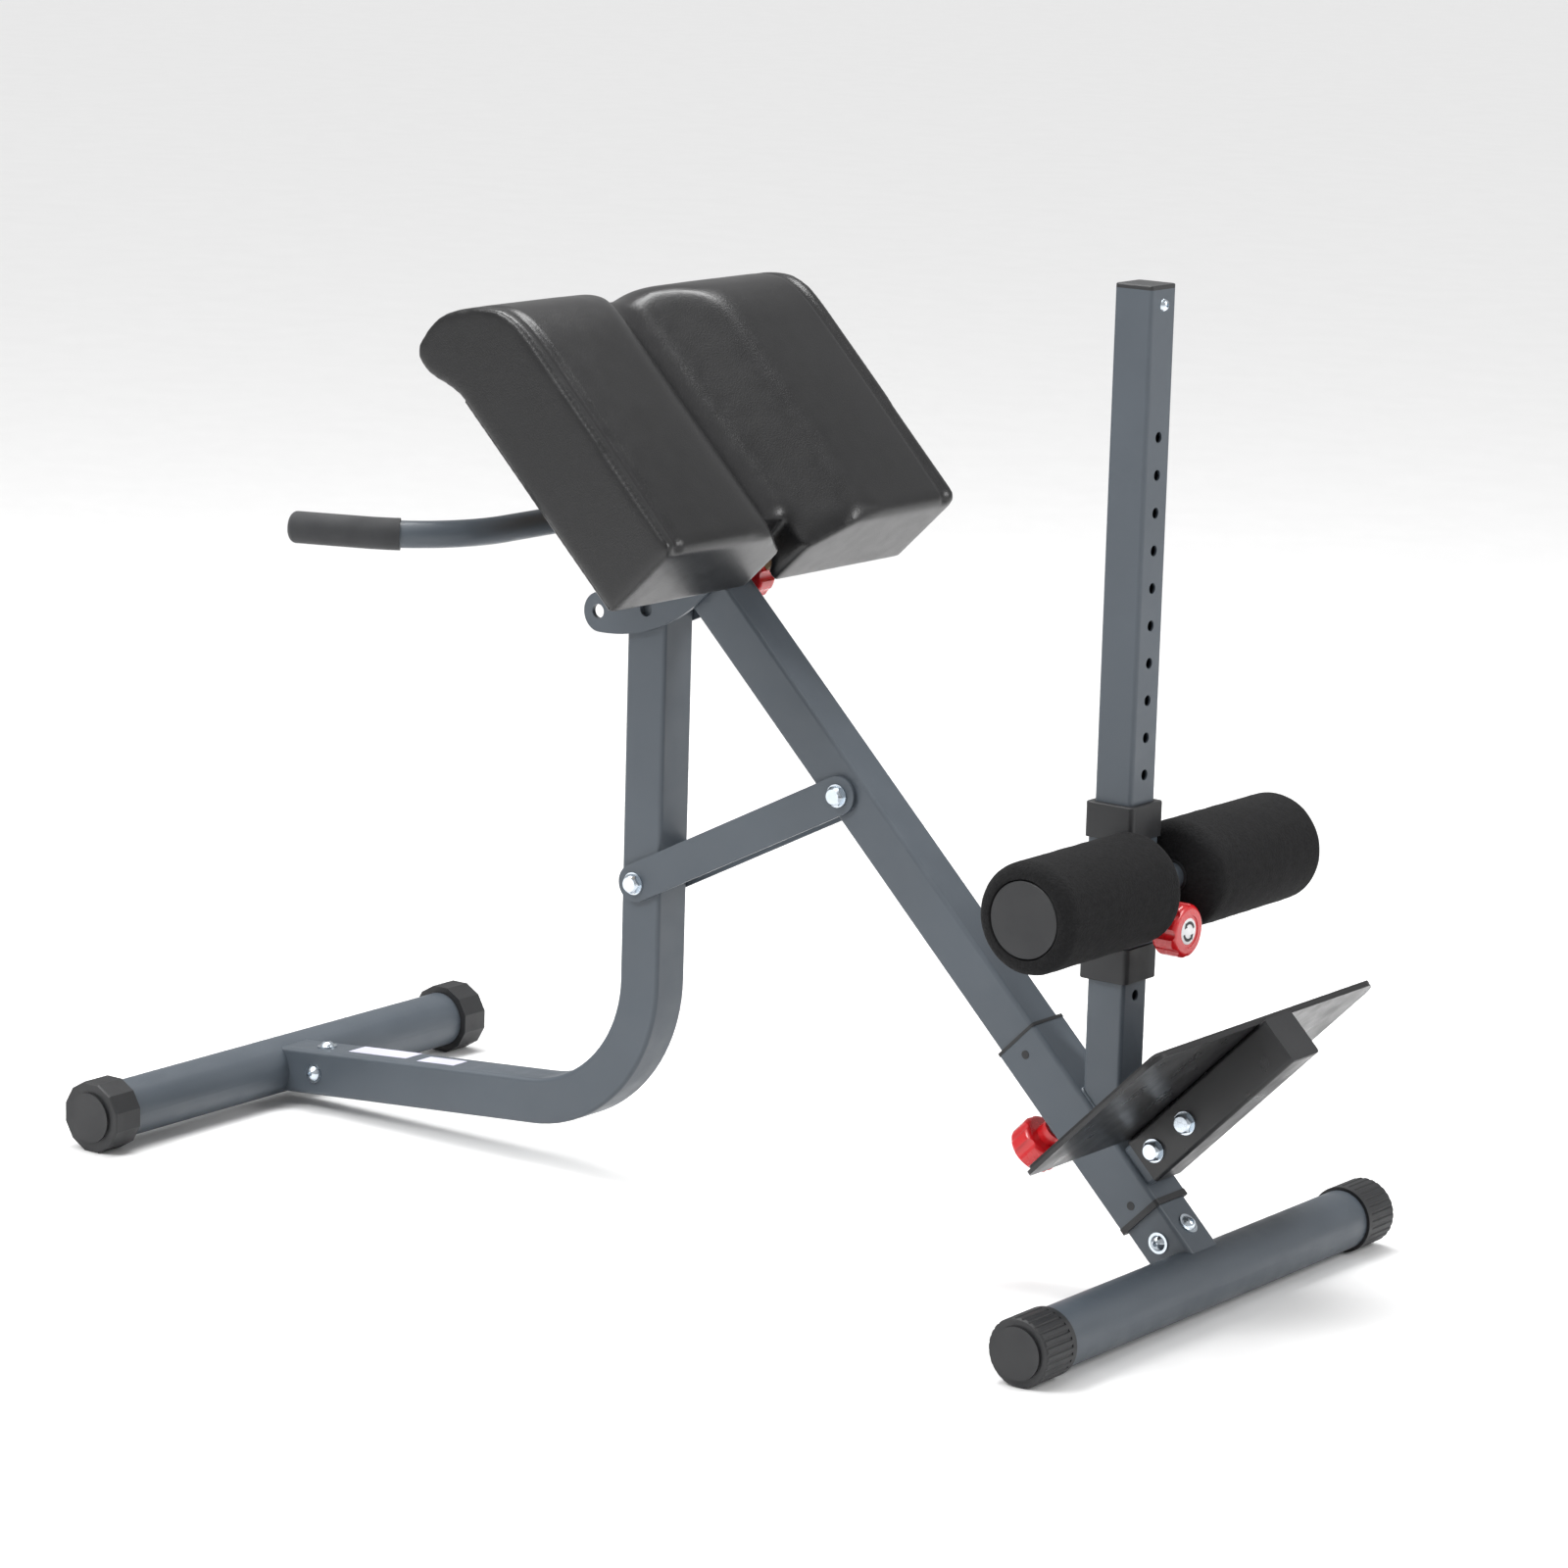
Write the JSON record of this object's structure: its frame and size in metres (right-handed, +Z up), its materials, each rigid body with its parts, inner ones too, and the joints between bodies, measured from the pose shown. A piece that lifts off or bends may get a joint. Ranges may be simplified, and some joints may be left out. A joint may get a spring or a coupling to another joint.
{
  "type": "roman chair",
  "caption": "45 degree back extension bench with a split hip pad, sliding footplate carriage, height-adjustable foam rollers and side handles.",
  "frame": {"origin": "on the floor, under the middle of the bench's overall box", "axes": "+X along the bench from the rear foot towards the footplate, +Y towards the user's right as they lie over the pad facing the rear foot's side, +Z up"},
  "size_m": [1.2476, 0.6582, 0.93],
  "materials": {
    "frame_paint": "satin anthracite powder coat",
    "black_paint": "satin black powder coat",
    "black_plastic": "matte moulded plastic",
    "zinc": "bright zinc plate",
    "red_plastic": "glossy red moulded plastic",
    "grip_plastic": "matte soft-touch sleeve",
    "foam": "open-cell foam",
    "vinyl": "black grained vinyl",
    "board": "dark plywood",
    "rubber_mat": "ribbed rubber",
    "label": "plain pale film"
  },
  "bodies": {
    "frame": {"rear_foot_tube": "frame_paint", "front_foot_tube": "frame_paint", "rear_foot_cap_left": "black_plastic", "rear_foot_cap_right": "black_plastic", "front_foot_cap_left": "black_plastic", "front_foot_cap_right": "black_plastic", "rear_upright": "frame_paint", "main_beam": "frame_paint", "beam_top_cap": "black_plastic", "brace_left": "frame_paint", "brace_right": "frame_paint", "brace_bolts": "zinc", "brace_nuts": "zinc", "brace_washers": "zinc", "foot_screws": "zinc", "foot_washers": "zinc", "handlebar": "frame_paint", "handle_grip_left": "grip_plastic", "handle_grip_right": "grip_plastic", "blank_labels": "label", "pad_pivot_bolt": "zinc", "pad_pivot_nut": "zinc", "pad_plunger_barrel": "black_paint"},
    "pad": {"quadrant_plate_left": "frame_paint", "quadrant_plate_right": "frame_paint", "pad_crossbars": "frame_paint", "pad_board": "board", "hip_pad": "vinyl", "pad_screws": "zinc", "pad_pivot_bushes": "black_plastic"},
    "pad_pin": {"pad_knob": "red_plastic", "pad_plunger": "zinc"},
    "lower_carriage": {"lower_sleeve": "frame_paint", "lower_sleeve_bush_bottom": "black_plastic", "lower_sleeve_bush_top": "black_plastic", "post": "frame_paint", "post_cap": "black_plastic", "post_stop_screw": "zinc", "footplate": "black_paint", "footplate_mat": "rubber_mat", "footplate_arm": "black_paint", "footplate_arm_cap": "black_plastic", "arm_bolts": "zinc", "arm_nuts": "zinc", "arm_washers": "zinc", "carriage_plunger_barrel": "black_paint"},
    "carriage_pin": {"carriage_knob": "red_plastic", "carriage_plunger": "zinc"},
    "roller_carriage": {"roller_sleeve": "frame_paint", "roller_bush_upper": "black_plastic", "roller_bush_lower": "black_plastic", "roller_axle": "black_paint", "roller_end_caps": "black_plastic", "roller_plunger_barrel": "black_paint"},
    "roller_pin": {"roller_knob": "red_plastic", "roller_plunger": "zinc"},
    "roller_left": {"foam_roller_left": "foam", "roller_core_left": "black_plastic"},
    "roller_right": {"foam_roller_right": "foam", "roller_core_right": "black_plastic"}
  },
  "joints": [
    {"name": "pad_tilt", "type": "hinge", "parent": "frame", "child": "pad", "pos_m": [-0.16007, 0, 0.71397], "axis": [0, -1, 0], "range_deg": [0, 45]},
    {"name": "pad_pin_pull", "type": "slide", "parent": "frame", "child": "pad_pin", "axis": [0, 1, 0], "range_m": [0, 0.01], "stiffness_N_per_m": 600, "springref_m": -0.004},
    {"name": "lower_carriage_slide", "type": "slide", "parent": "frame", "child": "lower_carriage", "axis": [-0.7071, 0, 0.7071], "range_m": [0, 0.2]},
    {"name": "carriage_pin_pull", "type": "slide", "parent": "lower_carriage", "child": "carriage_pin", "axis": [-0.7071, 0, -0.7071], "range_m": [0, 0.01], "stiffness_N_per_m": 600, "springref_m": -0.004},
    {"name": "roller_carriage_slide", "type": "slide", "parent": "lower_carriage", "child": "roller_carriage", "axis": [0, 0, 1], "range_m": [-0.0682, 0.4433]},
    {"name": "roller_pin_pull", "type": "slide", "parent": "roller_carriage", "child": "roller_pin", "axis": [1, 0, 0], "range_m": [0, 0.01], "stiffness_N_per_m": 600, "springref_m": -0.004},
    {"name": "roller_left_spin", "type": "hinge", "parent": "roller_carriage", "child": "roller_left", "pos_m": [0.45662, 0, 0.3912], "axis": [0, 1, 0], "continuous": true},
    {"name": "roller_right_spin", "type": "hinge", "parent": "roller_carriage", "child": "roller_right", "pos_m": [0.45662, 0, 0.3912], "axis": [0, 1, 0], "continuous": true}
  ]
}
